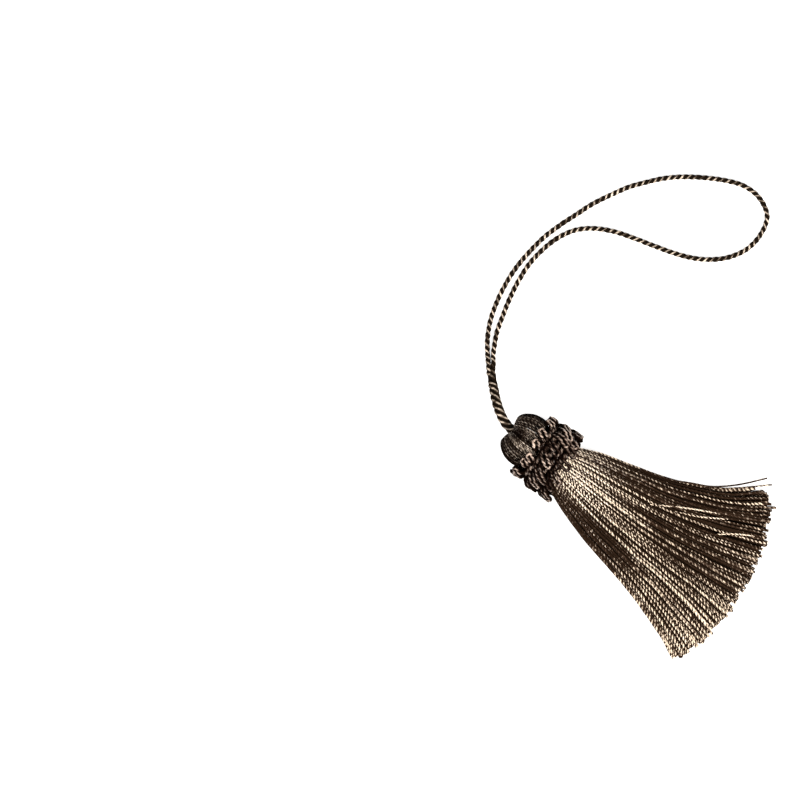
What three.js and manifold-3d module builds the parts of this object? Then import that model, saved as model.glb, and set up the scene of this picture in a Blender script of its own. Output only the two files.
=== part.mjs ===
// Key tassel: one bundle of yarn folded over a cord makes the head and the skirt, a ruff of looped
// rope goes round its neck, and the cord makes a long hanging loop. It lies on a table, fanned out.
// Millimetres, +Z up. Seen from above, +Y runs from the tips of the skirt to the head.
// The origin is on the table, under the middle of the tassel.

import * as THREE from 'three';
import { mergeVertices } from 'three/addons/utils/BufferGeometryUtils.js';
import Module from 'manifold-3d';

const wasm = await Module();
wasm.setup();

// Driving places: the line through head and neck, and the top of the head
const AXIS_X = -3.6;
const AXIS_Z = 11.2;
const CROWN_Y = 44.5;

// Head and neck: distance down from the crown, and radius
const DIMPLE_RADIUS = 2.4;
const HEAD_HEIGHT = 10;
const HEAD_PROFILE = [
  { down: 2.9, radius: 0 },
  { down: 2.8, radius: DIMPLE_RADIUS },
  { down: 0.9, radius: 3.2 },
  { down: 0.0, radius: 4.4 },
  { down: 0.7, radius: 6.0 },
  { down: 2.3, radius: 7.4 },
  { down: 4.6, radius: 8.4 },
  { down: 7.2, radius: 8.7 },
  { down: 8.9, radius: 8.2 },
  { down: 9.9, radius: 7.3 },
  { down: 10.7, radius: 6.7 },
  { down: 19.6, radius: 6.7 },
  { down: 19.6, radius: 0 },
];
const HEAD_SIDES = 32;
const CLEFT = { depth: 1.3, notch: 1.5, down: 2.4, reach: 3.2, width: 0.36 };

// Skirt: sections along the strands, from the roots at 0 to the tips at 1. left, right and depth
// are half sizes of the bundle, lift is the height of its underside, and settled is 1 where that
// underside lies flat on the table.
const SKIRT_SECTIONS = [
  { along: 0, left: 6.35, right: 6.35, depth: 6.35, lift: AXIS_Z - 6.35, settled: 0, strand: 0.32 },
  { along: 0.13, left: 10.4, right: 9.7, depth: 5.4, lift: 2.8, settled: 0.3, strand: 0.38 },
  { along: 0.33, left: 14.5, right: 13.1, depth: 4.5, lift: 0.6, settled: 0.7, strand: 0.38 },
  { along: 0.56, left: 18, right: 17, depth: 3.8, lift: 0, settled: 1, strand: 0.38 },
  { along: 0.8, left: 22.6, right: 23.8, depth: 3, lift: 0, settled: 1, strand: 0.4 },
  { along: 1, left: 28.6, right: 32.4, depth: 2.2, lift: 0, settled: 1, strand: 0.4 },
];
// Length of a strand from its root, across the fan from -1 at the left to 1 at the right
const STRAND_LENGTHS = [
  { across: -1.0, length: 71.6 },
  { across: -0.5, length: 70.0 },
  { across: 0, length: 68.0 },
  { across: 0.7, length: 66.4 },
  { across: 1.0, length: 66.8 },
];
const ROOT_DOWN = 19.0;
const STRAND_COUNT = 240;
const LATTICE_SHIFT = { i: 0.31, j: 0.17 };
const STRAND_SIDES = 3;
const RAGGED = 1.3;
const RESTING_LAYER = 0.3;
const STRAY = { from: 0.86, kick: 6.5, shorter: 3.0 };

// Ruff: a band round the neck, and three rows of rope loops on it. down is the middle of a loop,
// half its half length, ring the radius of the row, arch how far a loop's middle stands out, flare
// how far its lower end does, and skew how much the row rides up on the right.
const BAND_PROFILE = [
  { down: 11.1, radius: 7.1 },
  { down: 17.6, radius: 7.1 },
  { down: 20.0, radius: 7.9 },
  { down: 20.2, radius: 9.0 },
  { down: 17.0, radius: 9.7 },
  { down: 12.5, radius: 9.5 },
  { down: 10.9, radius: 8.6 },
];
const BAND_SIDES = 24;
const LOOP_ROWS = [
  { loops: 16, down: 10.9, half: 2.3, ring: 9.8, lean: 24, arch: 0.5, flare: 0, skew: 0.3, start: 4 },
  { loops: 16, down: 14.6, half: 4.0, ring: 10.2, lean: 28, arch: 0.5, flare: 0, skew: 0.7, start: 15 },
  { loops: 16, down: 18.9, half: 3.4, ring: 9.9, lean: 22, arch: 0.2, flare: 0.6, skew: 1.5, start: 7 },
];
const LOOP_ROPE = 2.7;
const LOOP_SIDES = 6;
const LOOP_RINGS = 4;
const LOOP_ROUNDING = 0.6;
const ABOVE_TABLE = 60;
const JUMBLE = { turn: 6, lean: 14, down: 0.7, ring: 0.4, half: 0.5 };

// Cord: the legs are twisted round each other above the head, then lie apart on the table.
// The stem's rows are the middle between the legs, and the loop's points are x and y on the table.
const CORD = 1.7;
const CORD_SIDES = 8;
const STEM = [
  { x: -3.6, y: 43.0, z: AXIS_Z },
  { x: -3.5, y: 44.4, z: AXIS_Z },
  { x: -2.9, y: 46.9, z: 10.9 },
  { x: -1.4, y: 49.8, z: 9.8 },
  { x: 0.9, y: 53.0, z: 7.8 },
  { x: 3.5, y: 55.8, z: 5.6 },
  { x: 6.1, y: 58.5, z: 3.6 },
  { x: 8.9, y: 60.8, z: 2.3 },
  { x: 11.3, y: 62.8, z: 0.95 },
];
const LEG_GAP = 0.3;
const TWIST_PITCH = 5.2;
const TWIST_STEPS = 8;
const UNTWISTED = 8.6;
const UNTWISTED_STEPS = 2;
const LOOP_ROUTE = [
  [15.3, 66.8], [20.9, 69.5], [26.8, 71.2], [32.9, 72.2], [39.1, 72.5], [45.3, 72.0],
  [51.4, 71.0], [57.4, 69.2], [63.2, 67.0], [68.9, 64.8], [74.4, 61.9], [79.7, 58.8],
  [84.6, 54.9], [89.1, 50.8], [93.1, 45.9], [96.4, 40.8], [99.4, 35.2], [101.4, 29.6],
  [101.2, 23.4], [98.0, 18.1], [92.2, 16.4], [86.1, 17.1], [80.7, 20.1], [76.4, 24.6],
  [73.3, 29.9], [71.1, 35.8], [69.4, 41.8], [67.8, 47.8], [66.0, 53.6], [63.3, 59.2],
  [59.4, 64.0], [54.2, 67.2], [48.3, 69.0], [42.1, 69.8], [36.0, 69.5], [29.8, 68.5],
  [23.8, 67.0], [17.9, 65.2],
];

// Steady random numbers, so that every build is the same
const SEED = 71;
const RANDOM_STEP = { times: 1664525, plus: 1013904223, wrap: 2 ** 32 };
let randomState = SEED;

function random() {
  randomState = (randomState * RANDOM_STEP.times + RANDOM_STEP.plus) % RANDOM_STEP.wrap;
  return randomState / RANDOM_STEP.wrap;
}

function spread(size) {
  return (random() * 2 - 1) * size;
}

function radians(degrees) {
  return (degrees * Math.PI) / 180;
}

// A value between the rows of a table, read at one column for another
function between(rows, key, at, column) {
  const next = rows.findIndex((row) => row[key] >= at);
  if (next <= 0) {
    return next === 0 ? rows[0][column] : rows[rows.length - 1][column];
  }
  const share = (at - rows[next - 1][key]) / (rows[next][key] - rows[next - 1][key]);
  return THREE.MathUtils.lerp(rows[next - 1][column], rows[next][column], share);
}

// Only the positions of a shape, with shared corners joined and collapsed faces dropped
function closedShape(geometry) {
  const bare = geometry.clone();
  bare.deleteAttribute('normal');
  bare.deleteAttribute('uv');
  const joined = mergeVertices(bare);
  const kept = [];
  for (let i = 0; i < joined.index.count; i += 3) {
    const face = [joined.index.getX(i), joined.index.getX(i + 1), joined.index.getX(i + 2)];
    if (new Set(face).size === 3) {
      kept.push(...face);
    }
  }
  joined.setIndex(kept);
  return joined;
}

function solidOf(geometry) {
  const shape = closedShape(geometry);
  return new wasm.Manifold(new wasm.Mesh({
    numProp: 3,
    vertProperties: new Float32Array(shape.attributes.position.array),
    triVerts: new Uint32Array(shape.index.array),
  }));
}

function geometryOf(solid) {
  const mesh = solid.getMesh();
  const geometry = new THREE.BufferGeometry();
  geometry.setAttribute('position', new THREE.BufferAttribute(mesh.vertProperties, 3));
  geometry.setIndex(new THREE.BufferAttribute(mesh.triVerts, 1));
  geometry.computeVertexNormals();
  return geometry;
}

// A closed turned shape round the tassel's axis, from rows of down and radius
function turned(profile, sides) {
  const points = profile.map((row) => new THREE.Vector2(row.radius, CROWN_Y - row.down));
  const geometry = new THREE.LatheGeometry(points, sides);
  geometry.translate(AXIS_X, 0, AXIS_Z);
  return geometry;
}

// The fold of the bundle: a dimple for the cord, and a cleft over the top and under it
function headGeometry() {
  const geometry = turned([...HEAD_PROFILE].reverse(), HEAD_SIDES);
  const places = geometry.attributes.position;
  for (let i = 0; i < places.count; i += 1) {
    const x = places.getX(i) - AXIS_X;
    const z = places.getZ(i) - AXIS_Z;
    const radius = Math.hypot(x, z);
    const down = CROWN_Y - places.getY(i);
    if (radius < DIMPLE_RADIUS + 0.1 || down > HEAD_HEIGHT) {
      continue;
    }
    const alongCleft = Math.exp(-(((down - CLEFT.down) / CLEFT.reach) ** 2));
    const acrossCleft = Math.exp(-((x / radius / CLEFT.width) ** 2));
    const pressed = 1 - (CLEFT.depth * alongCleft * acrossCleft) / radius;
    const notched = CLEFT.notch * acrossCleft * Math.exp(-((down / CLEFT.reach) ** 2));
    places.setXYZ(i, AXIS_X + x * pressed, CROWN_Y - down - notched, AXIS_Z + z * pressed);
  }
  return geometry;
}

// Places of the strands in the round bundle, each as wide and high shares of its radius. This
// slanted lattice stays evenly spread however much the bundle is flattened.
function bundlePlaces(count) {
  const golden = (1 + Math.sqrt(5)) / 2;
  const pitch = Math.sqrt(Math.PI / (count * Math.sqrt(5)));
  const reach = Math.ceil(2 / pitch);
  const places = [];
  for (let i = -reach; i <= reach; i += 1) {
    for (let j = -reach; j <= reach; j += 1) {
      const first = i + LATTICE_SHIFT.i;
      const second = j + LATTICE_SHIFT.j;
      const wide = pitch * (first + second * golden);
      const high = pitch * (first - second / golden);
      if (Math.hypot(wide, high) < 1) {
        places.push({ wide, high });
      }
    }
  }
  return places;
}

// The middle line of a strand: a point and a thickness at each section of the skirt
function strandLine(place) {
  const dome = Math.sqrt(1 - place.wide ** 2);
  const layer = place.high + dome;
  const tip = SKIRT_SECTIONS[SKIRT_SECTIONS.length - 1];
  const resting = layer * tip.depth < RESTING_LAYER;
  const astray = Math.max(0, (place.wide - STRAY.from) / (1 - STRAY.from));
  const length = between(STRAND_LENGTHS, 'across', place.wide, 'length');
  const drop = Math.sqrt(length ** 2 - acrossSkirt(tip, place.wide) ** 2);
  const line = SKIRT_SECTIONS.map((row) => {
    const flat = resting && row.lift === 0 ? 0 : row.depth * layer;
    const curl = row.depth * (1 - row.settled) * (1 - dome);
    const kick = row === tip ? astray * STRAY.kick : 0;
    return {
      x: AXIS_X + acrossSkirt(row, place.wide) + kick,
      y: CROWN_Y - ROOT_DOWN - row.along * drop,
      z: row.lift + curl + flat + row.strand / 2,
      radius: row.strand,
    };
  });
  // The ends are cut a little unevenly, each along its own strand
  const [before, end] = line.slice(-2);
  const cut = 1 + (spread(RAGGED) - astray * STRAY.shorter) / (before.y - end.y);
  end.x = THREE.MathUtils.lerp(before.x, end.x, cut);
  end.y = THREE.MathUtils.lerp(before.y, end.y, cut);
  return line;
}

function acrossSkirt(row, wide) {
  return (row.right - row.left) / 2 + (wide * (row.right + row.left)) / 2;
}

// A three-sided strand with a flat side down
function strandGeometry(line) {
  const corners = [];
  for (const point of line) {
    for (let side = 0; side < STRAND_SIDES; side += 1) {
      const turn = (side * 2 * Math.PI) / STRAND_SIDES;
      corners.push(
        point.x + point.radius * Math.sin(turn),
        point.y,
        point.z + point.radius * Math.cos(turn),
      );
    }
  }
  const faces = [0, 1, 2];
  for (let ring = 0; ring < line.length - 1; ring += 1) {
    for (let side = 0; side < STRAND_SIDES; side += 1) {
      const a = ring * STRAND_SIDES + side;
      const b = ring * STRAND_SIDES + ((side + 1) % STRAND_SIDES);
      faces.push(a, a + STRAND_SIDES, b, b, a + STRAND_SIDES, b + STRAND_SIDES);
    }
  }
  const last = (line.length - 1) * STRAND_SIDES;
  faces.push(last, last + 2, last + 1);
  const geometry = new THREE.BufferGeometry();
  geometry.setAttribute('position', new THREE.Float32BufferAttribute(corners, 3));
  geometry.setIndex(faces);
  return geometry;
}

function headAndSkirtGeometry() {
  let bundle = solidOf(headGeometry());
  for (const place of bundlePlaces(STRAND_COUNT)) {
    bundle = bundle.add(solidOf(strandGeometry(strandLine(place))));
  }
  return geometryOf(bundle);
}

// One loop of rope: a rounded bar bent round the neck, leaning, its middle standing out
function loopGeometry(row, turn, lean, down, ring, half) {
  const geometry = new THREE.SphereGeometry(1, LOOP_SIDES, LOOP_RINGS);
  const places = geometry.attributes.position;
  for (let i = 0; i < places.count; i += 1) {
    const long = places.getY(i);
    const girth = Math.hypot(places.getX(i), places.getZ(i));
    const fuller = girth > 0.01 ? (girth ** LOOP_ROUNDING / girth) * (LOOP_ROPE / 2) : 0;
    const aside = places.getX(i) * fuller;
    const out = places.getZ(i) * fuller;
    const up = long * half;
    const standing = row.arch * (1 - long ** 2) + row.flare * ((1 - long) / 2) ** 2;
    const angle = turn + (aside * Math.cos(lean) + up * Math.sin(lean)) / ring;
    const radius = ring + out + standing;
    places.setXYZ(
      i,
      AXIS_X + radius * Math.sin(angle),
      CROWN_Y - down + up * Math.cos(lean) - aside * Math.sin(lean),
      AXIS_Z + radius * Math.cos(angle),
    );
  }
  return geometry;
}

function ruffGeometry() {
  let ruff = solidOf(turned([...BAND_PROFILE, BAND_PROFILE[0]], BAND_SIDES));
  for (const row of LOOP_ROWS) {
    for (let loop = 0; loop < row.loops; loop += 1) {
      const turn = radians(row.start + (loop * 360) / row.loops + spread(JUMBLE.turn));
      const lean = radians(row.lean + spread(JUMBLE.lean));
      const down = row.down - row.skew * Math.sin(turn) + spread(JUMBLE.down);
      const ring = row.ring + spread(JUMBLE.ring);
      const half = row.half + spread(JUMBLE.half);
      ruff = ruff.add(solidOf(loopGeometry(row, turn, lean, down, ring, half)));
    }
  }
  // The loops underneath are pressed flat where the ruff lies on the table
  const above = new THREE.BoxGeometry(ABOVE_TABLE, ABOVE_TABLE, ABOVE_TABLE);
  above.translate(AXIS_X, CROWN_Y - LOOP_ROWS[1].down, ABOVE_TABLE / 2);
  return geometryOf(ruff.intersect(solidOf(above)));
}

// A curve whose steps fall on its own points
class PointCurve extends THREE.CatmullRomCurve3 {
  getUtoTmapping(share) {
    return share;
  }
}

// One leg in the stem, on side 1 or -1: it circles the stem's middle line, then lies beside it
function stemLeg(side) {
  const middle = new THREE.CatmullRomCurve3(STEM.map((row) => new THREE.Vector3(row.x, row.y, row.z)));
  const length = middle.getLength();
  const twisted = length - UNTWISTED;
  const steps = Math.round((twisted / TWIST_PITCH) * TWIST_STEPS);
  const radius = (CORD + LEG_GAP) / 2;
  const points = [];
  for (let step = 0; step <= steps + UNTWISTED_STEPS; step += 1) {
    const beside = (UNTWISTED * Math.max(0, step - steps)) / UNTWISTED_STEPS;
    const gone = (twisted * Math.min(step, steps)) / steps + beside;
    const turn = (2 * Math.PI * Math.max(0, twisted - gone)) / TWIST_PITCH;
    const centre = middle.getPointAt(gone / length);
    const ahead = middle.getTangentAt(gone / length);
    const aside = new THREE.Vector3(ahead.y, -ahead.x, 0).normalize();
    const over = new THREE.Vector3().crossVectors(aside, ahead);
    centre.addScaledVector(aside, side * radius * Math.cos(turn));
    centre.addScaledVector(over, -side * radius * Math.sin(turn));
    points.push(centre);
  }
  return points;
}

function cordGeometry() {
  const loop = LOOP_ROUTE.map(([x, y]) => new THREE.Vector3(x, y, CORD / 2));
  const route = [...stemLeg(-1), ...loop, ...stemLeg(1).reverse()];
  const round = new THREE.Shape();
  round.absarc(0, 0, CORD / 2, 0, 2 * Math.PI);
  return closedShape(new THREE.ExtrudeGeometry(round, {
    steps: route.length - 1,
    curveSegments: CORD_SIDES / 2,
    extrudePath: new PointCurve(route),
  }));
}

// Each piece with its own finish
function piece(name, geometry, finish) {
  const mesh = new THREE.Mesh(geometry, new THREE.MeshStandardMaterial(finish));
  mesh.name = name;
  return mesh;
}

const tassel = new THREE.Group();
tassel.add(piece('head_and_skirt', headAndSkirtGeometry(), { color: 0x6a5648, roughness: 0.45 }));
tassel.add(piece('ruff', ruffGeometry(), { color: 0x4e4036, roughness: 0.55 }));
tassel.add(piece('hanging_cord', cordGeometry(), { color: 0x75675a, roughness: 0.5 }));

export default tassel;
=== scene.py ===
# Key tassel with a bun-shaped head, a ruff of looped rope, a fanned skirt and a long loop of
# twisted cord, lying flat on a table. Metres, +Z up. Seen from above, +Y runs from tips to head.

import math

import bpy
import numpy as np
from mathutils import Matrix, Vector


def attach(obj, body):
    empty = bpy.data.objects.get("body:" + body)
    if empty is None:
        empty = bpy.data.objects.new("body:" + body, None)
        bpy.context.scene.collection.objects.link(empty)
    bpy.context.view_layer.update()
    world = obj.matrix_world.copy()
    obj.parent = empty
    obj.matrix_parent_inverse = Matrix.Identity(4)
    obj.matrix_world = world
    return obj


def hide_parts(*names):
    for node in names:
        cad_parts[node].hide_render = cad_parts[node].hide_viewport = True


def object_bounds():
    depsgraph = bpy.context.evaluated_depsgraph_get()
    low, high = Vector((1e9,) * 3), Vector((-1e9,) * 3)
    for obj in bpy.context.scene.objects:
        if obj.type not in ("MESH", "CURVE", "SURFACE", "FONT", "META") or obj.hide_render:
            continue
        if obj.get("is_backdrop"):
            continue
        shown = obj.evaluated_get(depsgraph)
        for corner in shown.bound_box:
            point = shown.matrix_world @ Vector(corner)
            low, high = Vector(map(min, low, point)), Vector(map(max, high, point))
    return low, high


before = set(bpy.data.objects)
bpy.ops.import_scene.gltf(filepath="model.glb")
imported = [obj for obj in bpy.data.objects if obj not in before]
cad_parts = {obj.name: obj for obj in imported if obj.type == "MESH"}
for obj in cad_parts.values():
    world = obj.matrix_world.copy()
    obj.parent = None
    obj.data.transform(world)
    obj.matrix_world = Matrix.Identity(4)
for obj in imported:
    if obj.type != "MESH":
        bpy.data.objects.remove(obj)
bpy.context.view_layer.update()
BODY = "root"


# The view: straight down, turned so that the skirt fans out to the lower right and the cord
# makes its loop across the upper half of the picture.

VIEW_MIDDLE = (-0.0167, 0.0776)
VIEW_WIDTH = 0.25175
VIEW_HEIGHT = 1.5
VIEW_TURN = -54

lens = bpy.data.cameras.new("view")
lens.type = "ORTHO"
lens.ortho_scale = VIEW_WIDTH
view = bpy.data.objects.new("view", lens)
view.location = (*VIEW_MIDDLE, VIEW_HEIGHT)
view.rotation_euler = (0, 0, math.radians(VIEW_TURN))
bpy.context.scene.collection.objects.link(view)
bpy.context.scene.camera = view


# The hanging cord: one length of two-ply rayon cord. Both ends go into the head, its two legs
# are twisted into one stem of four plies above it, and the rest lies on the table in a long loop.

CORD = 0.0017
PLIES = 2
PLY = 0.00124
PLY_RING = 0.00026
CORD_LAY = 0.0042
AXIS_X = -0.0036
AXIS_Z = 0.0112
STEM = [
    (-0.0036, 0.0430, AXIS_Z), (-0.0035, 0.0444, AXIS_Z), (-0.0029, 0.0469, 0.0109),
    (-0.0014, 0.0498, 0.0098), (0.0009, 0.0530, 0.0078), (0.0035, 0.0558, 0.0056),
    (0.0061, 0.0585, 0.0036), (0.0089, 0.0608, 0.0023), (0.0113, 0.0628, 0.00095),
]
CORD_STEP = 0.0004
UNTWISTED = 0.0086
LEGS_PRESSED = 0.00066
LEGS_BESIDE = 0.00086
STEM_PLY = 0.00146
STEM_RING = 0.00088
STEM_LAY = 0.0098
MERGE_FROM = 0.0035
MERGE_TO = 0.0075
STEM_TONE = -0.12
LOOP_ROUTE = [
    (0.0153, 0.0668), (0.0209, 0.0695), (0.0268, 0.0712), (0.0329, 0.0722), (0.0391, 0.0725),
    (0.0453, 0.0720), (0.0514, 0.0710), (0.0574, 0.0692), (0.0632, 0.0670), (0.0689, 0.0648),
    (0.0744, 0.0619), (0.0797, 0.0588), (0.0846, 0.0549), (0.0891, 0.0508), (0.0931, 0.0459),
    (0.0964, 0.0408), (0.0994, 0.0352), (0.1014, 0.0296), (0.1012, 0.0234), (0.0980, 0.0181),
    (0.0922, 0.0164), (0.0861, 0.0171), (0.0807, 0.0201), (0.0764, 0.0246), (0.0733, 0.0299),
    (0.0711, 0.0358), (0.0694, 0.0418), (0.0678, 0.0478), (0.0660, 0.0536), (0.0633, 0.0592),
    (0.0594, 0.0640), (0.0542, 0.0672), (0.0483, 0.0690), (0.0421, 0.0698), (0.0360, 0.0695),
    (0.0298, 0.0685), (0.0238, 0.0670), (0.0179, 0.0652),
]


def smooth(points, step):
    """A smooth line through the points, with points of its own about step apart."""
    given = np.array(points, float)
    given = np.vstack([2 * given[0] - given[1], given, 2 * given[-1] - given[-2]])
    line = []
    for a, b, c, d in zip(given, given[1:], given[2:], given[3:]):
        count = max(1, math.ceil(np.linalg.norm(c - b) / step))
        for t in np.arange(count) / count:
            curve = 2 * b + (c - a) * t + (2 * a - 5 * b + 4 * c - d) * t**2
            line.append((curve + (3 * b - a - 3 * c + d) * t**3) / 2)
    return np.array([*line, given[-2]])


def gone(line):
    """The distance along a line to each of its points."""
    return np.concatenate([[0], np.cumsum(np.linalg.norm(np.diff(line, axis=0), axis=1))])


def unit(vectors):
    """The same directions, each of length one."""
    return vectors / np.linalg.norm(vectors, axis=1, keepdims=True)


def circling(line, radius, turn):
    """A line round another one, at angles that start from its right-hand side and go over it."""
    ahead = unit(np.gradient(line, axis=0))
    aside = unit(ahead[:, [1, 0, 2]] * (1, -1, 0))
    over = np.cross(aside, ahead)
    around = np.cos(turn)[:, None] * aside + np.sin(turn)[:, None] * over
    return line + np.broadcast_to(radius, len(line))[:, None] * around


def put(tree, kind, inputs=(), **settings):
    """Adds a node with its settings. Each input is a value, or an output to link it to."""
    node = tree.nodes.new(kind)
    for name, value in settings.items():
        setattr(node, name, value)
    for name, value in dict(inputs).items():
        if isinstance(value, bpy.types.NodeSocket):
            tree.links.new(value, node.inputs[name])
        else:
            node.inputs[name].default_value = value
    return node


def reckon(tree, operation, *values):
    """One step of arithmetic in a node tree, and its result."""
    return put(tree, "ShaderNodeMath", dict(enumerate(values)), operation=operation).outputs[0]


def socket(tree, name, kind, way="INPUT"):
    """A named input or output of a node group."""
    return tree.interface.new_socket(name, in_out=way, socket_type="NodeSocket" + kind)


def scaled(tree, vector, size):
    """A vector made longer or shorter."""
    node = put(tree, "ShaderNodeVectorMath", {0: vector, "Scale": size}, operation="SCALE")
    return node.outputs[0]


def fold(tree, value):
    """How far a value is from the middle of its step: 0 halfway and 1 at both ends."""
    share = reckon(tree, "FRACT", value)
    return reckon(tree, "ABSOLUTE", reckon(tree, "MULTIPLY_ADD", share, 2.0, -1.0))


MIDDLE = 0.5
NOISE_DETAIL = 2.0
WANDER_ROUGHNESS = 0.45


def yarn_tree():
    """Geometry nodes that lay yarn or rope along every line of a mesh of bare edges. The lines
    carry their own width, looseness and tone."""
    tree = bpy.data.node_groups.new("yarn_along_lines", "GeometryNodeTree")
    socket(tree, "Yarn", "Geometry", "OUTPUT")
    for name, kind in (
        ("Lines", "Geometry"), ("Step", "Float"), ("Sides", "Int"), ("Plies", "Int"),
        ("Groove", "Float"), ("Turns", "Float"), ("Wander", "Float"), ("Wander length", "Float"),
        ("Strays", "Float"), ("Seed", "Int"), ("Material", "Material"),
    ):
        socket(tree, name, kind)
    given = tree.nodes.new("NodeGroupInput").outputs
    # The lines as smooth curves, with even steps
    curve = put(tree, "GeometryNodeMeshToCurve", {"Mesh": given["Lines"]})
    curve = put(
        tree, "GeometryNodeCurveSplineType", {0: curve.outputs[0]}, spline_type="CATMULL_ROM"
    )
    curve = put(
        tree, "GeometryNodeResampleCurve", {0: curve.outputs[0], "Length": given["Step"]},
        mode="LENGTH",
    )
    # Yarns that lie close together wander together, and each a little on its own
    number = put(tree, "GeometryNodeCurveOfPoint").outputs["Curve Index"]
    own = put(
        tree, "FunctionNodeRandomValue", {"ID": number, "Seed": given["Seed"]}, data_type="FLOAT"
    ).outputs[1]
    place = put(tree, "GeometryNodeInputPosition").outputs[0]
    near = scaled(tree, place, reckon(tree, "DIVIDE", 1.0, given["Wander length"]))
    apart = put(tree, "ShaderNodeCombineXYZ", {"Z": reckon(tree, "MULTIPLY", own, given["Strays"])})
    where = put(tree, "ShaderNodeVectorMath", {0: near, 1: apart.outputs[0]}, operation="ADD")
    noise = put(
        tree, "ShaderNodeTexNoise",
        {"Vector": where.outputs[0], "Scale": 1.0, "Detail": NOISE_DETAIL,
         "Roughness": WANDER_ROUGHNESS},
    )
    centred = put(
        tree, "ShaderNodeVectorMath", {0: noise.outputs["Color"], 1: (MIDDLE,) * 3},
        operation="SUBTRACT",
    )
    loose = put(tree, "GeometryNodeInputNamedAttribute", {"Name": "loose"}, data_type="FLOAT")
    size = reckon(tree, "MULTIPLY", given["Wander"], loose.outputs[0])
    shift = scaled(tree, centred.outputs[0], size)
    curve = put(tree, "GeometryNodeSetPosition", {0: curve.outputs[0], "Offset": shift})
    # Nothing goes below the table
    width = put(tree, "GeometryNodeInputNamedAttribute", {"Name": "width"}, data_type="FLOAT")
    half = reckon(tree, "MULTIPLY", width.outputs[0], 0.5)
    parts = put(tree, "ShaderNodeSeparateXYZ", {0: place})
    height = reckon(tree, "MAXIMUM", parts.outputs[2], half)
    rested = put(
        tree, "ShaderNodeCombineXYZ", {"X": parts.outputs[0], "Y": parts.outputs[1], "Z": height}
    )
    curve = put(
        tree, "GeometryNodeSetPosition", {0: curve.outputs[0], "Position": rested.outputs[0]}
    )
    # What the finish reads, and the turning section with its lobes for the plies
    along = put(tree, "GeometryNodeSplineParameter").outputs["Length"]
    for name, value in (("along", along), ("yarn", own)):
        curve = put(
            tree, "GeometryNodeStoreNamedAttribute",
            {0: curve.outputs[0], "Name": name, "Value": value}, data_type="FLOAT", domain="POINT",
        )
    full_turn = reckon(tree, "MULTIPLY", given["Turns"], 2 * math.pi)
    tilt = reckon(tree, "MULTIPLY", along, full_turn)
    curve = put(tree, "GeometryNodeSetCurveTilt", {0: curve.outputs[0], "Tilt": tilt})
    ring = put(
        tree, "GeometryNodeCurvePrimitiveCircle", {"Resolution": given["Sides"], "Radius": 1.0}
    )
    ring = put(
        tree, "GeometryNodeStoreNamedAttribute",
        {0: ring.outputs[0], "Name": "around", "Value": place},
        data_type="FLOAT_VECTOR", domain="POINT",
    )
    share = put(tree, "GeometryNodeSplineParameter").outputs["Factor"]
    edge = fold(tree, reckon(tree, "MULTIPLY", share, given["Plies"]))
    cut = reckon(tree, "MULTIPLY", reckon(tree, "MULTIPLY", edge, edge), given["Groove"])
    lobed = scaled(tree, place, reckon(tree, "SUBTRACT", 1.0, cut))
    ring = put(tree, "GeometryNodeSetPosition", {0: ring.outputs[0], "Position": lobed})
    yarn = put(
        tree, "GeometryNodeCurveToMesh",
        {"Curve": curve.outputs[0], "Profile Curve": ring.outputs[0], "Scale": half,
         "Fill Caps": True},
    )
    yarn = put(tree, "GeometryNodeSetShadeSmooth", {0: yarn.outputs[0]})
    yarn = put(tree, "GeometryNodeRealizeInstances", {0: yarn.outputs[0]})
    yarn = put(
        tree, "GeometryNodeSetMaterial", {0: yarn.outputs[0], "Material": given["Material"]}
    )
    put(tree, "NodeGroupOutput", {0: yarn.outputs[0]})
    return tree


YARN_TREE = yarn_tree()
PLAIN_YARN = {
    "plies": 1, "groove": 0.0, "turns": 0.0, "wander": 0.0, "wander_length": 1.0, "strays": 0.0,
}


def laid(name, lines, material, **sizes):
    """Lays yarn along the lines, as one plain mesh. Each line is its points, with the width,
    looseness and tone at each of them, and for some pieces the way out from their middle."""
    bare = bpy.data.meshes.new(name + "_lines")
    counts = [len(line["points"]) for line in lines]
    starts = np.cumsum([0, *counts])
    edges = [(i, i + 1) for s, n in zip(starts, counts) for i in range(s, s + n - 1)]
    bare.from_pydata(np.vstack([line["points"] for line in lines]).tolist(), edges, [])
    for key in ("width", "loose", "tone"):
        values = np.concatenate([np.broadcast_to(line[key], n) for line, n in zip(lines, counts)])
        carried = bare.attributes.new(key, "FLOAT", "POINT")
        carried.data.foreach_set("value", values.astype(np.float32))
    if "outward" in lines[0]:
        values = np.vstack([line["outward"] for line in lines])
        carried = bare.attributes.new("outward", "FLOAT_VECTOR", "POINT")
        carried.data.foreach_set("vector", values.astype(np.float32).ravel())
    piece = bpy.data.objects.new(name, bare)
    bpy.context.scene.collection.objects.link(piece)
    laying = piece.modifiers.new("yarn", "NODES")
    laying.node_group = YARN_TREE
    sockets = {s.name: s.identifier for s in YARN_TREE.interface.items_tree if s.in_out == "INPUT"}
    laying[sockets["Material"]] = material
    for key, value in {**PLAIN_YARN, **sizes}.items():
        laying[sockets[key.replace("_", " ").capitalize()]] = value
    graph = bpy.context.evaluated_depsgraph_get()
    mesh = bpy.data.meshes.new_from_object(
        piece.evaluated_get(graph), preserve_all_data_layers=True, depsgraph=graph
    )
    piece.modifiers.clear()
    piece.data = mesh
    mesh.name = name
    bpy.data.meshes.remove(bare)
    return piece


PATCHES = 800.0
YARNS_APART = 900.0
YARN_SHIFT = 0.01
UNEVENNESS = 0.0015
PLY_POWER = 3.0


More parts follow.
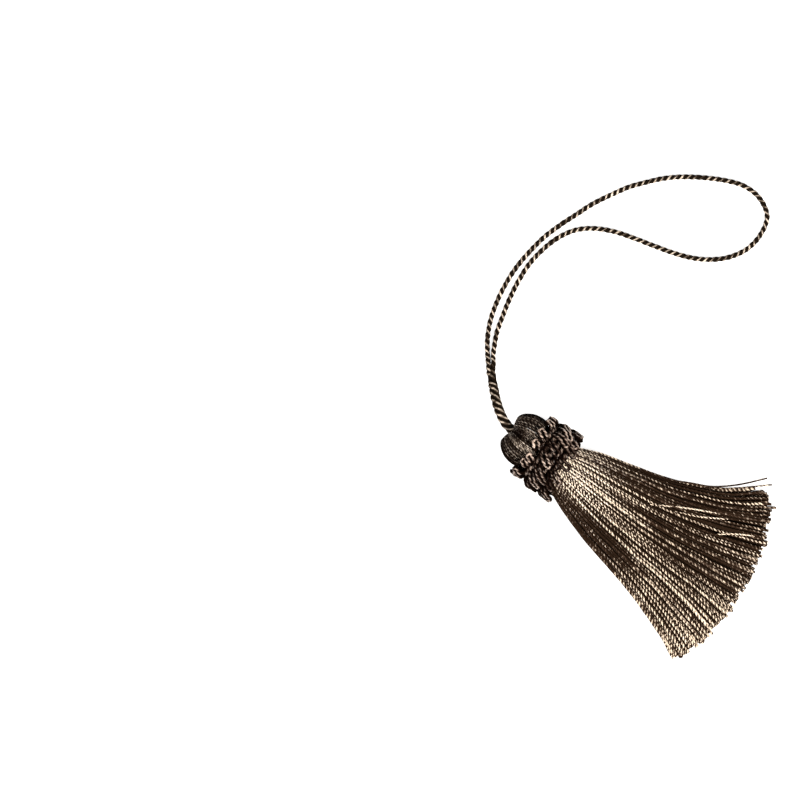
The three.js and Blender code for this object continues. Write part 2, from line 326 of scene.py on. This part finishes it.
def twist_group():
    """The shared effect of twisted yarn: its plies, from groove to ridge, and its fine fibres."""
    tree = bpy.data.node_groups.new("twisted_yarn", "ShaderNodeTree")
    for name, kind in (
        ("Along", "Float"), ("Around", "Vector"), ("Yarn", "Float"), ("Plies", "Float"),
        ("Turns", "Float"), ("Fibres", "Float"), ("Fibre turns", "Float"),
    ):
        socket(tree, name, kind)
    for name in ("Ply", "Fibre", "Patch"):
        socket(tree, name, "Float", "OUTPUT")
    given = tree.nodes.new("NodeGroupInput").outputs
    parts = put(tree, "ShaderNodeSeparateXYZ", {0: given["Around"]})
    angle = reckon(tree, "ARCTAN2", parts.outputs[1], parts.outputs[0])
    share = reckon(tree, "DIVIDE", angle, 2 * math.pi)
    where = put(
        tree, "ShaderNodeCombineXYZ",
        {"X": reckon(tree, "MULTIPLY", given["Along"], PATCHES),
         "Y": reckon(tree, "MULTIPLY", given["Yarn"], YARNS_APART)},
    )
    patch = put(
        tree, "ShaderNodeTexNoise",
        {"Vector": where.outputs[0], "Scale": 1.0, "Detail": NOISE_DETAIL},
    )
    shifted = reckon(tree, "MULTIPLY_ADD", given["Yarn"], YARN_SHIFT, given["Along"])
    shifted = reckon(tree, "MULTIPLY_ADD", patch.outputs[0], UNEVENNESS, shifted)
    turned = reckon(tree, "MULTIPLY", shifted, given["Turns"])
    phase = reckon(tree, "MULTIPLY_ADD", share, given["Plies"], turned)
    edge = fold(tree, phase)
    rounded = reckon(tree, "SUBTRACT", 1.0, reckon(tree, "MULTIPLY", edge, edge))
    ply = reckon(tree, "POWER", rounded, PLY_POWER)
    fine = reckon(
        tree, "MULTIPLY_ADD", phase, given["Fibres"],
        reckon(tree, "MULTIPLY", given["Along"], given["Fibre turns"]),
    )
    fibre = fold(tree, fine)
    end = put(tree, "NodeGroupOutput")
    for name, value in (("Ply", ply), ("Fibre", fibre), ("Patch", patch.outputs[0])):
        tree.links.new(value, end.inputs[name])
    return tree


TWIST_GROUP = twist_group()


def attribute(tree, name, output):
    """What a piece carries under this name at each point."""
    return put(tree, "ShaderNodeAttribute", attribute_name=name).outputs[output]


def rayon(name, shades, **own):
    """Silky rayon: painted shade in the grooves, brown on the plies, painted pale glints along the
    fibres.
    """
    look = {**RAYON, **own}
    material = bpy.data.materials.new(name)
    material.use_nodes = True
    tree = material.node_tree
    surface = tree.nodes["Principled BSDF"]
    yarn = attribute(tree, "yarn", "Fac")
    twist = put(
        tree, "ShaderNodeGroup",
        {"Along": attribute(tree, "along", "Fac"), "Around": attribute(tree, "around", "Vector"),
         "Yarn": yarn, "Plies": look["plies"], "Turns": look["turns"], "Fibres": FIBRES,
         "Fibre turns": look["fibre_turns"]},
        node_tree=TWIST_GROUP,
    ).outputs
    # Painted shade: where the yarn is closed in by its neighbours, in grooves and between strands,
    # its colour is darkened.
    painted_shade_ao = put(
        tree, "ShaderNodeAmbientOcclusion", {"Distance": look["reach"]},
        samples=OPEN_SAMPLES, only_local=True,
    ).outputs["AO"]
    # Painted highlight: where a piece carries its way out, the surface facing out from its middle
    # is lightened and the surface facing in is darkened.
    normal = put(tree, "ShaderNodeNewGeometry").outputs["Normal"]
    ridge = put(
        tree, "ShaderNodeVectorMath", {0: normal, 1: attribute(tree, "outward", "Vector")},
        operation="DOT_PRODUCT",
    ).outputs["Value"]
    tone = attribute(tree, "tone", "Fac")
    lit = reckon(tree, "ADD", tone, look["tone"])
    # The plies' painted glints show less on some yarns than on others, and less where the tone is
    # dark than where it is light
    variety = reckon(tree, "FRACT", reckon(tree, "MULTIPLY", yarn, VARIETIES))
    own_share = reckon(tree, "MULTIPLY_ADD", variety, PLY_RANGE, LEAST_PLY)
    ply_share = reckon(tree, "MULTIPLY", own_share, look["ply"])
    lit_share = reckon(tree, "MULTIPLY_ADD", tone, LIT_PLY, UNLIT_PLY)
    ply_share = reckon(tree, "MULTIPLY", ply_share, lit_share)
    for value, middle, share in (
        (twist["Ply"], PLY_GLINT_MIDDLE, ply_share),
        (twist["Fibre"], MIDDLE, look["fibre"]),
        (twist["Patch"], MIDDLE, look["patch"]),
        (yarn, MIDDLE, look["yarn"]),
        (painted_shade_ao, OPEN_SHADE_MIDDLE, look["groove"]),
        (ridge, RIDGE_HIGHLIGHT_MIDDLE, look["ridge"]),
    ):
        lit = reckon(tree, "MULTIPLY_ADD", reckon(tree, "SUBTRACT", value, middle), share, lit)
    colour = put(tree, "ShaderNodeValToRGB", {0: lit})
    stops = colour.color_ramp.elements
    stops.new(MIDDLE)
    for stop, (at, shade) in zip(stops, shades):
        stop.position = at
        stop.color = (*shade, 1)
    tree.links.new(colour.outputs[0], surface.inputs["Base Color"])
    glint = put(
        tree, "ShaderNodeMath", {0: lit, 1: look["shine"], 2: -DULL},
        operation="MULTIPLY_ADD", use_clamp=True,
    )
    tree.links.new(glint.outputs[0], surface.inputs["Coat Weight"])
    height = reckon(tree, "MULTIPLY_ADD", twist["Fibre"], FIBRE_RELIEF, twist["Ply"])
    bump = put(
        tree, "ShaderNodeBump", {"Strength": 1.0, "Distance": look["relief"], "Height": height}
    )
    tree.links.new(bump.outputs[0], surface.inputs["Normal"])
    surface.inputs["Roughness"].default_value = CORE_ROUGHNESS
    surface.inputs["Specular IOR Level"].default_value = CORE_GLOSS
    surface.inputs["Specular Tint"].default_value = (*SHINE_TINT, 1)
    surface.inputs["Coat Roughness"].default_value = look["rough"]
    surface.inputs["Coat IOR"].default_value = SILK_IOR
    return material


FIBRES = 2
FIBRE_RELIEF = 0.25
PLY_GLINT_MIDDLE = 0.46
RIDGE_HIGHLIGHT_MIDDLE = 0.88
OPEN_SHADE_MIDDLE = 0.75
OPEN_SAMPLES = 8
VARIETIES = 7.0
LEAST_PLY = 0.3
PLY_RANGE = 1.4
LIT_PLY = 1.2
UNLIT_PLY = 0.85
SHINE_TINT = (1.0, 0.84, 0.68)
CORE_ROUGHNESS = 0.5
CORE_GLOSS = 0.0
SILK_IOR = 1.65
DULL = 0.4
RAYON = {
    "plies": 2, "turns": 0.0, "fibre_turns": 700.0, "relief": 0.00004, "tone": 0.40, "ply": 0.5,
    "fibre": 0.2, "patch": 0.5, "yarn": 0.4, "groove": 1.2, "reach": 0.0012, "rough": 0.3,
    "shine": 1.6, "ridge": 0.0,
}
# Shades from dark to pale: the darkest is painted shade in the grooves, the middle the yarn's own
# brown, the palest a painted glint.
CORD_SHADES = (
    (0.15, (0.009, 0.006, 0.004)), (0.5, (0.050, 0.034, 0.023)), (1.0, (0.88, 0.75, 0.62)),
)
# The cord's crests, where its plies face out, get a painted highlight and its grooves painted
# shade.
CORD_LOOK = {
    "ply": 0.0, "relief": 0.00001, "tone": 0.38, "patch": 1.2, "groove": 1.0, "reach": 0.0008,
    "ridge": 2.1, "shine": 1.0,
}
CORD_LAYING = {"step": CORD_STEP, "sides": 8, "seed": 1}

stem = smooth(STEM, CORD_STEP)
stem_gone = gone(stem)
parting = stem_gone[-1] - UNTWISTED
apart = np.interp(stem_gone, [parting, stem_gone[-1]], [LEGS_PRESSED, LEGS_BESIDE])


def whole_cord(turn):
    """The cord's middle line: up one leg, round the loop and down the other leg."""
    left, right = (circling(stem, side * apart, turn) for side in (-1, 1))
    loop = [(x, y, CORD / 2) for x, y in LOOP_ROUTE]
    return smooth(np.vstack([left, loop, right[::-1]]), CORD_STEP)


middle = whole_cord(np.zeros(len(stem)))
middle_gone = gone(middle)
between = middle_gone[-1] - 2 * parting
lay = between / round(between / CORD_LAY)
stem_turn = 2 * math.pi * (stem_gone - parting) / STEM_LAY
merged = np.interp(stem_gone, [parting - MERGE_FROM, parting + MERGE_TO], [1, 0])
merged = merged**2 * (3 - 2 * merged)


def ply_line(number):
    """One ply, round the cord's own line in the loop and round the stem where the legs merge."""
    turn = math.pi + 2 * math.pi * ((middle_gone - parting) / lay + number / PLIES)
    points = circling(middle, PLY_RING, turn)
    outward = unit(points - middle)
    ends = (
        (slice(0, len(stem)), 1, stem_turn + math.pi + number * math.pi / PLIES),
        (slice(len(middle) - len(stem), None), -1, stem_turn - number * math.pi / PLIES),
    )
    widths = np.full(len(middle), PLY)
    tones = np.zeros(len(middle))
    for part, way, turn in ends:
        share = merged[::way, None]
        in_stem = circling(stem, STEM_RING, turn)[::way]
        points[part] += share * (in_stem - points[part])
        outward[part] += share * (unit(in_stem - stem[::way]) - outward[part])
        widths[part] += share[:, 0] * (STEM_PLY - PLY)
        tones[part] += share[:, 0] * STEM_TONE
    return {"points": points, "width": widths, "loose": 0, "tone": tones, "outward": outward}


cord = laid(
    "hanging_cord_plied", [ply_line(number) for number in (-0.5, 0.5)],
    rayon("cord_rayon", CORD_SHADES, **CORD_LOOK), **CORD_LAYING,
)
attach(cord, BODY)
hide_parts("hanging_cord")


# The head: the bundle of yarn where it is folded over the cord. Its yarns run out of the dimple,
# over the round shoulders and down into the ruff, and the fold leaves a cleft at the cord.

CROWN_Y = 0.0445
DIMPLE_RADIUS = 0.0025
HEAD_PROFILE = [
    (0.0031, 0.0008), (0.0026, 0.0022), (0.0009, 0.0031), (0.0, 0.0044), (0.0007, 0.0060),
    (0.0023, 0.0074), (0.0046, 0.0084), (0.0072, 0.0087), (0.0089, 0.0082), (0.0099, 0.0073),
    (0.0116, 0.0068), (0.0150, 0.0067),
]
HEAD_YARNS = 118
HEAD_YARN = 0.00058
HEAD_OVERLAP = 1.35
HEAD_STEP = 0.00045
HEAD_JITTER = 0.25
HEAD_STAGGER = 0.00006
CLEFT_DEPTH = 0.0013
CLEFT_NOTCH = 0.0015
CLEFT_DOWN = 0.0024
CLEFT_REACH = 0.0032
CLEFT_WIDTH = 0.5
# The head's darkest shade is painted shade, its palest a painted glint.
HEAD_SHADES = (
    (0.15, (0.003, 0.0015, 0.001)), (0.5, (0.045, 0.030, 0.021)), (1.0, (0.60, 0.50, 0.41)),
)
# Painted shade: the head's yarns are darker in the cleft and on the head's flanks, away from its
# top.
CLEFT_PAINTED_SHADE = -0.35
FLANK_PAINTED_SHADE = -0.45
HEAD_LOOK = {"turns": -740, "tone": 0.24, "patch": 0.9, "yarn": 0.5}
HEAD_LAYING = {
    "step": HEAD_STEP, "sides": 6, "wander": 0.0003, "wander_length": 0.003, "strays": 1.0,
    "seed": 2,
}
CHANCE_SEED = 5


def fading(away):
    """1 at the middle of something, and less the further away from it."""
    return np.exp(-(away**2))


def head_yarn(turn, depth, chance):
    """One yarn over the head, from the dimple to the neck, at this turn round the axis."""
    profile = smooth(HEAD_PROFILE, HEAD_STEP)
    widths = np.minimum(HEAD_YARN, HEAD_OVERLAP * 2 * math.pi * profile[:, 1] / HEAD_YARNS)
    ahead = unit(np.gradient(profile, axis=0))
    inward = np.stack([ahead[:, 1], -ahead[:, 0]], axis=1)
    profile = profile + inward * (widths[:, None] / 2 + depth)
    down, radius = profile.T
    angle = turn + HEAD_JITTER * (2 * math.pi / HEAD_YARNS) * chance
    across = fading(math.sin(angle) / CLEFT_WIDTH)
    in_cleft = fading((down - CLEFT_DOWN) / CLEFT_REACH)
    on_head = np.clip((radius - DIMPLE_RADIUS) / DIMPLE_RADIUS, 0, 1)
    pressed = radius - CLEFT_DEPTH * across * in_cleft * on_head
    notch = CLEFT_NOTCH * across * fading(down / CLEFT_REACH) * on_head
    points = np.stack(
        [AXIS_X + pressed * math.sin(angle), CROWN_Y - down - notch,
         AXIS_Z + pressed * math.cos(angle)],
        axis=1,
    )
    # Painted shade in the cleft and on the flanks
    shade = CLEFT_PAINTED_SHADE * across * in_cleft + FLANK_PAINTED_SHADE * math.sin(angle) ** 4
    return {"points": points, "width": widths, "loose": on_head, "tone": shade}


draws = np.random.default_rng(CHANCE_SEED)
head_lines = [
    head_yarn(2 * math.pi * i / HEAD_YARNS, HEAD_STAGGER * (i % 2), draws.uniform(-1, 1))
    for i in range(HEAD_YARNS)
]
head = laid(
    "head_yarns", head_lines, rayon("head_rayon", HEAD_SHADES, **HEAD_LOOK), **HEAD_LAYING
)
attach(head, BODY)


# The ruff: a rope wound round the neck, and three tiers of short looped rope sewn over it. The
# top loops show as knobs under the head, and the lower tiers lean and overhang like shingles.

ROPE = 0.00122
ROPE_PLIES = 2
LEGS_APART = 0.0015
LEG_POINTS = 7
BEND_POINTS = 7
TIERS = [
    {"loops": 16, "down": 0.0109, "half": 0.0023, "ring": 0.0098, "lean": 24, "flare": 0,
     "skew": 0.0003, "start": 4, "way": -1, "tone": 0.0},
    {"loops": 16, "down": 0.0146, "half": 0.0040, "ring": 0.0102, "lean": 28, "flare": 0,
     "skew": 0.0007, "start": 15, "way": 1, "tone": 0.0},
    {"loops": 16, "down": 0.0189, "half": 0.0034, "ring": 0.0099, "lean": 22, "flare": 0.0006,
     "skew": 0.0015, "start": 7, "way": 1, "tone": -0.22},
]
JUMBLE = {"turn": 6, "lean": 14, "down": 0.0007, "ring": 0.0004, "half": 0.0005}
RISE = [(0, -0.0024), (0.22, -0.0015), (0.34, 0.0), (0.6, 0.0009), (1, 0.0006)]
STRANDS_BEFORE = 242
DRAWS_START = 71
DRAWS_FACTOR = 1664525
DRAWS_STEP = 1013904223
DRAWS_RANGE = 2**32
# The ruff's darkest shade is painted shade, its palest a painted glint.
RUFF_SHADES = (
    (0.15, (0.005, 0.0025, 0.0018)), (0.5, (0.043, 0.025, 0.018)), (1.0, (0.60, 0.46, 0.38)),
)
# The ropes' outer crests get a painted highlight and their closed-in valleys painted shade.
RUFF_LOOK = {
    "plies": ROPE_PLIES, "fibre_turns": 900, "tone": 0.29, "ply": 0.18, "patch": 1.2,
    "groove": 1.3, "reach": 0.0026, "ridge": 1.3,
}
RUFF_LAYING = {
    "step": 0.00025, "sides": 14, "plies": ROPE_PLIES, "groove": 0.26, "turns": -330,
    "wander": 0.0006, "wander_length": 0.004, "strays": 1.0, "seed": 3,
}


def steady(state):
    """The same steady draws, from 0 to 1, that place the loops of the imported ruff."""
    while True:
        state = (state * DRAWS_FACTOR + DRAWS_STEP) % DRAWS_RANGE
        yield state / DRAWS_RANGE


def loop_line(tier, turn, lean, down, ring, half):
    """The middle line of one loop: up from the neck, along it, round the bend and back."""
    leg = np.linspace(half, -half + LEGS_APART / 2, LEG_POINTS)
    bend = np.linspace(math.pi, 2 * math.pi, BEND_POINTS)[1:-1]
    aside = np.concatenate([np.full(LEG_POINTS, -1.0), np.cos(bend), np.full(LEG_POINTS, 1.0)])
    aside = aside * LEGS_APART / 2
    up = np.concatenate([leg, leg[-1] + np.sin(bend) * LEGS_APART / 2, leg[::-1]])
    share = (half - up) / (2 * half)
    out = np.interp(share, *zip(*RISE)) + tier["flare"] * share**2
    up = up * tier["way"]
    angle = turn + (aside * math.cos(lean) + up * math.sin(lean)) / ring
    radius = ring + out
    across = up * math.cos(lean) - aside * math.sin(lean)
    return np.stack(
        [AXIS_X + radius * np.sin(angle), CROWN_Y - down + across, AXIS_Z + radius * np.cos(angle)],
        axis=1,
    )


def from_axis(points):
    """The way out from the tassel's middle line, at each of the points."""
    return unit((points - (AXIS_X, 0, AXIS_Z)) * (1, 0, 1))


draw = steady(DRAWS_START)
for _ in range(STRANDS_BEFORE):
    next(draw)
loops = []
for tier in TIERS:
    for i in range(tier["loops"]):
        chance = {key: (2 * next(draw) - 1) * size for key, size in JUMBLE.items()}
        turn = math.radians(tier["start"] + i * 360 / tier["loops"] + chance["turn"])
        lean = math.radians(tier["lean"] + chance["lean"])
        down = tier["down"] - tier["skew"] * math.sin(turn) + chance["down"]
        ring, half = (tier[key] + chance[key] for key in ("ring", "half"))
        points = loop_line(tier, turn, lean, down, ring, half)
        loops.append(
            {"points": points, "width": ROPE, "loose": 1, "tone": tier["tone"],
             "outward": from_axis(points)}
        )
ruff_rayon = rayon("ruff_rayon", RUFF_SHADES, **RUFF_LOOK)
ruff = laid("ruff_loops", loops, ruff_rayon, **RUFF_LAYING)
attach(ruff, BODY)
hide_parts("ruff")

WINDING_ROPE = 0.0024
WINDING_RADIUS = 0.0085
WINDING_TURNS = 4.2
WINDING_FROM = 0.0112
WINDING_TO = 0.0196
WINDING_POINTS = 200
WINDING_TONE = -0.25
WINDING_LAYING = {
    "step": 0.00035, "sides": 12, "plies": 3, "groove": 0.3, "turns": -180.0, "seed": 4,
}
turns = np.linspace(0, WINDING_TURNS, WINDING_POINTS)
winding = np.stack(
    [AXIS_X + WINDING_RADIUS * np.sin(2 * math.pi * turns),
     CROWN_Y - WINDING_FROM - (WINDING_TO - WINDING_FROM) * turns / WINDING_TURNS,
     AXIS_Z + WINDING_RADIUS * np.cos(2 * math.pi * turns)],
    axis=1,
)
neck = laid(
    "neck_winding",
    [{"points": winding, "width": WINDING_ROPE, "loose": 0, "tone": WINDING_TONE,
      "outward": from_axis(winding)}],
    ruff_rayon, **WINDING_LAYING,
)
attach(neck, BODY)


# The skirt: the same bundle of yarn below the ruff, where three hundred twisted strands fan out
# over the table, on a layer of wider ones that closes the gaps. They lie close and nearly side by
# side and are cut unevenly. A few stand off the right edge, and a few cross the others.

SKIRT_COLUMNS = ("along", "left", "right", "depth", "lift", "settled", "width")
SKIRT_SECTIONS = dict(zip(SKIRT_COLUMNS, zip(
    (0.0, 0.00635, 0.00635, 0.00635, AXIS_Z - 0.00635, 0.0, 0.00066),
    (0.13, 0.0104, 0.0097, 0.0054, 0.0028, 0.3, 0.00072),
    (0.33, 0.0145, 0.0131, 0.0045, 0.0006, 0.7, 0.00078),
    (0.56, 0.0180, 0.0170, 0.0038, 0.0, 1.0, 0.00083),
    (0.80, 0.0226, 0.0238, 0.0030, 0.0, 1.0, 0.00086),
    (1.0, 0.0286, 0.0324, 0.0022, 0.0, 1.0, 0.00088),
)))
STRAND_LENGTHS = [(-1.0, 0.0716), (-0.5, 0.0707), (0.0, 0.0696), (0.7, 0.0682), (1.0, 0.0670)]
ROOT_DOWN = 0.0190
STRANDS = 300
DRIFT = 0.04
WIDEST = 0.995
PILED_FROM = 2
PRESSED = 0.85
LEVELLED = 0.002
PROUD = 0.0004
UNDERLAY = 64
UNDERLAY_WIDTH = 1.5
LATTICE_SHIFT = (0.31, 0.17)
LOOSENESS = (0.15, 1.0)
RAGGED = 0.0012
CLUMPED = 0.0005
CLUMPS = (17, 41)
STRAY_FROM = 0.92
STRAY_KICK = 0.0016
STRAY_SHORTER = 0.0030
# The skirt's darkest shade is painted shade, its palest a painted glint.
SKIRT_SHADES = (
    (0.15, (0.018, 0.010, 0.006)), (0.5, (0.064, 0.038, 0.025)), (1.0, (0.88, 0.73, 0.57)),
)
WISPS = [
    [(0.0104, 0.0035), (0.0113, -0.0008), (0.0124, -0.0044), (0.0136, -0.0074), (0.0158, -0.0116),
     (0.0186, -0.0173), (0.0215, -0.0211), (0.0259, -0.0257), (0.0313, -0.0303)],
    [(0.0142, -0.0120), (0.0164, -0.0150), (0.0182, -0.0177), (0.0197, -0.0198), (0.0219, -0.0228),
     (0.0259, -0.0276), (0.0305, -0.0328)],
]
LOOSE_STRANDS = [
    [(0.00295, -0.0053), (0.0085, -0.0148), (0.0136, -0.0249)],
    [(0.0055, -0.0125), (0.0092, -0.0207), (0.0136, -0.0279)],
    [(0.0059, -0.0258), (0.0108, -0.0320), (0.0147, -0.0385)],
]
LOOSE_TONE = 0.45
WISP_TONE = -0.1
LOOSE_WIDTH = 0.00055
LOOSE_WANDER = 0.2
LOOSE_RISE = [(0, -0.0006), (0.5, 0.0007), (1, 0.0002)]
STRAND_STEP = 0.006
# The strands' tones are painted sheen and painted shade: lighter near the neck and in a band where
# the light catches the strands, which runs to the left towards the tips, and darker on the right
# half and at the left edge.
PAINTED_SHEEN_COLUMNS = ("along", "base", "painted_sheen", "line", "spread", "edge")
PAINTED_SHEEN_TONES = dict(zip(PAINTED_SHEEN_COLUMNS, zip(
    (0.0, 0.10, 0.40, 0.14, 0.80, -0.35),
    (0.15, 0.0, 0.42, 0.0, 0.60, -0.40),
    (0.27, -0.13, 0.42, 0.02, 0.45, -0.25),
    (0.45, -0.20, 0.30, -0.10, 0.50, -0.15),
    (0.60, -0.20, 0.38, -0.60, 0.55, 0.0),
    (0.80, -0.16, 0.42, -0.55, 0.45, 0.0),
    (1.0, -0.03, 0.40, -0.60, 0.50, 0.0),
)))
EDGE_SHADE_SPREAD = 0.25
SKIRT_LOOK = {
    "turns": -740, "relief": 0.0001, "tone": 0.03, "ply": 0.75, "patch": 1.7, "yarn": 0.55,
    "groove": 1.5,
}
SKIRT_LAYING = {
    "step": 0.0013, "sides": 8, "wander": 0.0016, "wander_length": 0.012, "strays": 0.8, "seed": 6,
}


def section(along):
    """The skirt's cross-section this far along, in shares of its length."""
    return {
        key: np.interp(along, SKIRT_SECTIONS["along"], SKIRT_SECTIONS[key]) for key in SKIRT_COLUMNS
    }


def side_to_side(left, right, wide):
    """A place between the skirt's left edge, where wide is -1, and its right edge."""
    return (right - left) / 2 + wide * (right + left) / 2


def skirt_point(along, wide, high):
    """The place of a strand in the bundle, wide and high in shares of its radius."""
    row = section(along)
    dome = np.sqrt(1 - wide**2)
    length = np.interp(wide, *zip(*STRAND_LENGTHS))
    tip = side_to_side(SKIRT_SECTIONS["left"][-1], SKIRT_SECTIONS["right"][-1], wide)
    drop = np.sqrt(length**2 - tip**2)
    across = side_to_side(row["left"], row["right"], wide)
    curl = row["depth"] * (1 - row["settled"]) * (1 - dome)
    height = row["lift"] + curl + row["depth"] * (high + dome) + row["width"] / 2
    return np.stack([AXIS_X + across, CROWN_Y - ROOT_DOWN - along * drop, height], axis=-1)


def piled(across, width, floor, top):
    """The heights of strands that are laid down one by one, each on the ones before. The pile is
    sunk until it is as high as the skirt, so that only its upper layers keep their heights."""
    heights = np.zeros(len(across))
    for i, x in enumerate(across):
        gaps = across[:i] - x
        near = np.abs(gaps) < width
        held = heights[:i][near] + PRESSED * np.sqrt(width**2 - gaps[near] ** 2)
        heights[i] = max([0, *held])
    apart = np.abs(across[:, None] - across)
    seen = np.max(np.where(apart < width / 2, heights, 0), axis=1)
    level = np.sum(np.where(apart < LEVELLED, seen, 0), axis=1) / np.sum(apart < LEVELLED, axis=1)
    return np.maximum(floor, top + np.minimum(heights - level, PROUD))


def bundle_places(count):
    """Places spread evenly over the round bundle, on a slanted lattice."""
    golden = (1 + math.sqrt(5)) / 2
    pitch = math.sqrt(math.pi / (count * math.sqrt(5)))
    reach = math.ceil(2 / pitch)
    for i in range(-reach, reach + 1):
        for j in range(-reach, reach + 1):
            first = i + LATTICE_SHIFT[0]
            second = j + LATTICE_SHIFT[1]
            wide = pitch * (first + second * golden)
            high = pitch * (first - second / golden)
            if math.hypot(wide, high) < 1:
                yield wide, high


def bundle():
    """All strands of the skirt, the lowest first: their points at each section, wide and high."""
    under = [(wide, -1.0) for wide in np.linspace(-WIDEST, WIDEST, UNDERLAY)]
    places = np.array(under + sorted(bundle_places(STRANDS), key=lambda place: place[1]))
    start = places[:, 0]
    high = np.maximum(places[:, 1], -np.sqrt(1 - start**2))
    drift = DRIFT * draws.uniform(-1, 1, len(places))
    drift[:UNDERLAY] = 0
    sections = []
    for number, along in enumerate(SKIRT_SECTIONS["along"]):
        wide = np.clip(start + drift * along, -WIDEST, WIDEST)
        points = skirt_point(along, wide, high)
        if number >= PILED_FROM:
            dome = np.sqrt(1 - wide**2)
            floor, top = (skirt_point(along, wide, side * dome)[:, 2] for side in (-1, 1))
            points[:, 2] = piled(points[:, 0], section(along)["width"], floor, top)
        sections.append(points)
    return np.stack(sections, axis=1), start, high


def strand(points, wide, chance):
    """One strand of the skirt, from its root in the neck to its uneven cut end."""
    astray = max(0.0, (wide - STRAY_FROM) / (1 - STRAY_FROM))
    before, end = points[-2:]
    end[0] += astray * STRAY_KICK
    clumped = CLUMPED * sum(math.sin(count * wide) for count in CLUMPS)
    uneven = RAGGED * chance + clumped - astray * STRAY_SHORTER
    cut = uneven / (before[1] - end[1])
    end[:2] += (end - before)[:2] * cut
    fine = smooth(points, STRAND_STEP)
    along = np.interp(-fine[:, 1], -points[:, 1], SKIRT_SECTIONS["along"])
    # Painted sheen and painted shade, by where the strand lies across and along the skirt
    tones = {key: np.interp(along, PAINTED_SHEEN_TONES["along"], PAINTED_SHEEN_TONES[key]) for key in PAINTED_SHEEN_COLUMNS}
    tone = tones["base"] + tones["painted_sheen"] * fading((wide - tones["line"]) / tones["spread"])
    return {
        "points": fine, "width": section(along)["width"],
        "loose": np.interp(along, (0, 1), LOOSENESS),
        "tone": tone + tones["edge"] * fading((wide + 1) / EDGE_SHADE_SPREAD),
    }


def on_skirt(x, y, rise):
    """A point at this height over the top of the skirt."""
    along = (CROWN_Y - ROOT_DOWN - y) / np.interp(0, *zip(*STRAND_LENGTHS))
    row = section(along)
    left, right = row["left"], row["right"]
    wide = np.clip((x - AXIS_X - (right - left) / 2) * 2 / (left + right), -WIDEST, WIDEST)
    return x, y, skirt_point(along, wide, math.sqrt(1 - wide**2))[2] + rise


strands = {"skirt_upper": [], "skirt_lower": []}
for number, (points, wide, high) in enumerate(zip(*bundle())):
    line = strand(points, wide, draws.uniform(-1, 1))
    if number < UNDERLAY:
        line["width"] = line["width"] * UNDERLAY_WIDTH
    strands["skirt_upper" if high > 0 else "skirt_lower"].append(line)
for lines, tone in ((WISPS, WISP_TONE), (LOOSE_STRANDS, LOOSE_TONE)):
    for line in lines:
        rises = np.interp(np.linspace(0, 1, len(line)), *zip(*LOOSE_RISE))
        points = [on_skirt(x, y, rise) for (x, y), rise in zip(line, rises)]
        strands["skirt_upper"].append(
            {"points": points, "width": LOOSE_WIDTH, "loose": LOOSE_WANDER, "tone": tone}
        )
skirt_rayon = rayon("skirt_rayon", SKIRT_SHADES, **SKIRT_LOOK)
for name, lines in strands.items():
    piece = laid(name, lines, skirt_rayon, **SKIRT_LAYING)
    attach(piece, BODY)
    if name == "skirt_upper":
        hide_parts("head_and_skirt")


# The table and the light: a plain white surface that glows a little, so that no shadow darkens
# it. One lamp stands beyond the head and to its left, and a stronger one beyond the tips. The
# surroundings are dim, and look white where they show.

TABLE_SIZE = 3.0
TABLE_COLOUR = (0.5, 0.5, 0.497)
TABLE_ROUGHNESS = 0.9
LIGHT_AT = (0.0, 0.02, 0.0)
LIGHTS = [
    {"name": "key", "toward": (-0.7, 0.6, 0.75), "distance": 0.9, "size": 0.3, "power": 6.5},
    {"name": "side", "toward": (0.0, -0.6, 0.8), "distance": 0.9, "size": 0.3, "power": 13.5},
]
LIGHT_COLOUR = (1.0, 0.95, 0.88)
SURROUNDINGS = 0.08
GLOW = 0.9
WHITE = (1, 1, 1, 1)

surface = bpy.data.meshes.new("table")
half = TABLE_SIZE / 2
corners = [(-half, -half, 0), (half, -half, 0), (half, half, 0), (-half, half, 0)]
surface.from_pydata(corners, [], [(0, 1, 2, 3)])
paint = bpy.data.materials.new("table_paint")
paint.use_nodes = True
finish = paint.node_tree.nodes["Principled BSDF"].inputs
finish["Base Color"].default_value = (*TABLE_COLOUR, 1)
finish["Roughness"].default_value = TABLE_ROUGHNESS
finish["Emission Color"].default_value = WHITE
finish["Emission Strength"].default_value = GLOW
surface.materials.append(paint)
table = bpy.data.objects.new("table", surface)
bpy.context.scene.collection.objects.link(table)
table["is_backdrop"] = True

for row in LIGHTS:
    lamp = bpy.data.lights.new(row["name"], "AREA")
    lamp.energy = row["power"]
    lamp.color = LIGHT_COLOUR
    lamp.size = row["size"]
    stand = bpy.data.objects.new(row["name"], lamp)
    toward = Vector(row["toward"]).normalized()
    stand.location = Vector(LIGHT_AT) + toward * row["distance"]
    stand.rotation_euler = toward.to_track_quat("Z", "Y").to_euler()
    bpy.context.scene.collection.objects.link(stand)

world = bpy.data.worlds.new("surroundings")
world.use_nodes = True
around = world.node_tree
dim = around.nodes["Background"]
dim.inputs["Strength"].default_value = SURROUNDINGS
dim.inputs["Color"].default_value = (*LIGHT_COLOUR, 1)
white = put(around, "ShaderNodeBackground", {"Color": WHITE, "Strength": 1.0})
seen = put(around, "ShaderNodeLightPath").outputs["Is Camera Ray"]
backdrop = put(around, "ShaderNodeMixShader", {0: seen, 1: dim.outputs[0], 2: white.outputs[0]})
around.links.new(backdrop.outputs[0], around.nodes["World Output"].inputs["Surface"])
bpy.context.scene.world = world
bpy.context.scene.view_settings.view_transform = "Standard"

low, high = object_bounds()
